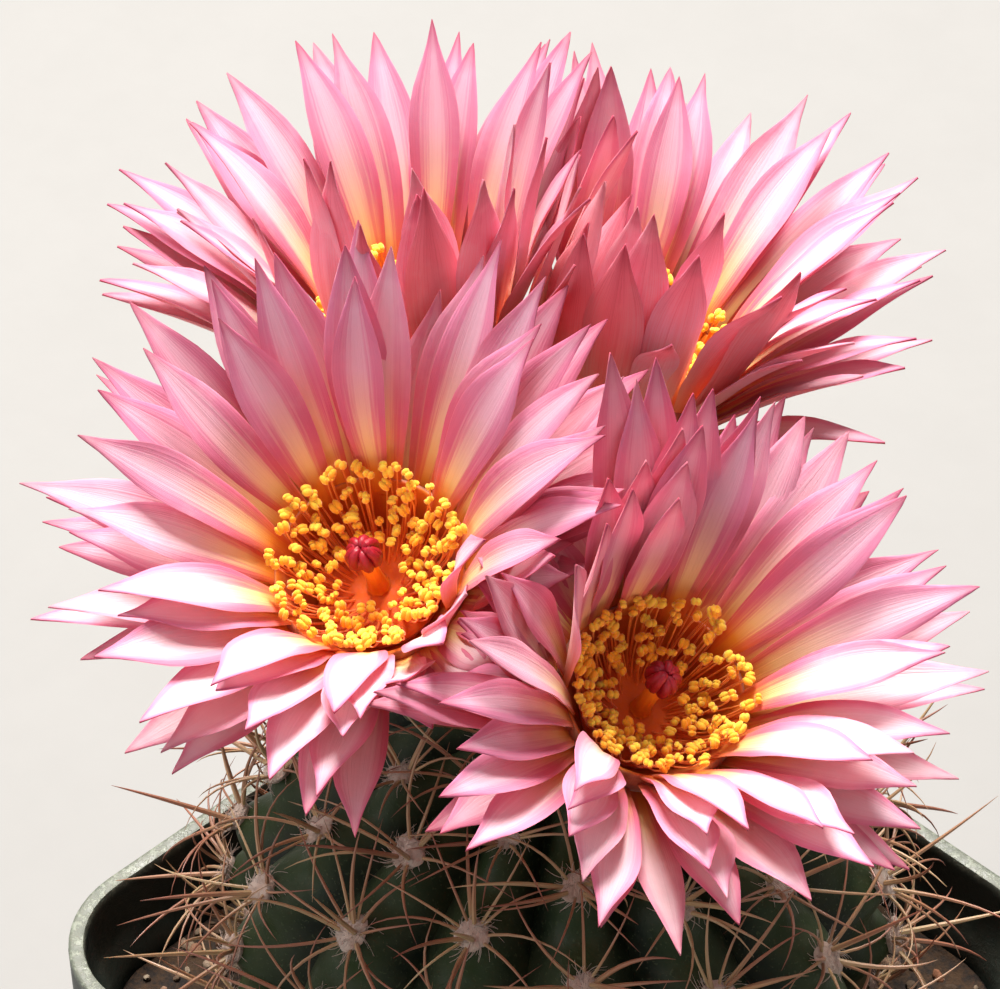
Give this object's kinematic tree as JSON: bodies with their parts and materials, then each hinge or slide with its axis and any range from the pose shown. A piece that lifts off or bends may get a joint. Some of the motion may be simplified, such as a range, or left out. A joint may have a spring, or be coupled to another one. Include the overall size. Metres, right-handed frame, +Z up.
{
  "type": "potted cactus",
  "caption": "Flattened globe cactus with spined ribs and wide open many-petalled pink blooms on short tubes, standing in soil in a square nursery pot with rounded corners",
  "frame": {"origin": "centre of the pot's flat underside", "axes": "+Z up, X and Y along the pot's sides; the viewer of the picture stands towards +X and -Y, facing a corner of the pot"},
  "size_m": [0.1198, 0.1154, 0.1783],
  "materials": {
    "pot_plastic": "weathered matt",
    "soil": "dry crumbs and grit",
    "stem_skin": "waxy, with wool and spines",
    "receptacle": "scaly and woolly",
    "tepal": "silky and translucent",
    "stamen": "powdery",
    "style": "waxy",
    "stigma": "velvety"
  },
  "bodies": {
    "root": {"pot": "pot_plastic", "soil": "soil", "stem": "stem_skin", "bloom_front_left_receptacle": "receptacle", "bloom_front_left_tepals": "tepal", "bloom_front_left_stamens": "stamen", "bloom_front_left_style": "style", "bloom_front_left_stigma": "stigma", "bloom_front_right_receptacle": "receptacle", "bloom_front_right_tepals": "tepal", "bloom_front_right_stamens": "stamen", "bloom_front_right_style": "style", "bloom_front_right_stigma": "stigma", "bloom_back_left_receptacle": "receptacle", "bloom_back_left_tepals": "tepal", "bloom_back_left_stamens": "stamen", "bloom_back_left_style": "style", "bloom_back_left_stigma": "stigma", "bloom_back_right_receptacle": "receptacle", "bloom_back_right_tepals": "tepal", "bloom_back_right_stamens": "stamen", "bloom_back_right_style": "style", "bloom_back_right_stigma": "stigma"}
  },
  "joints": []
}
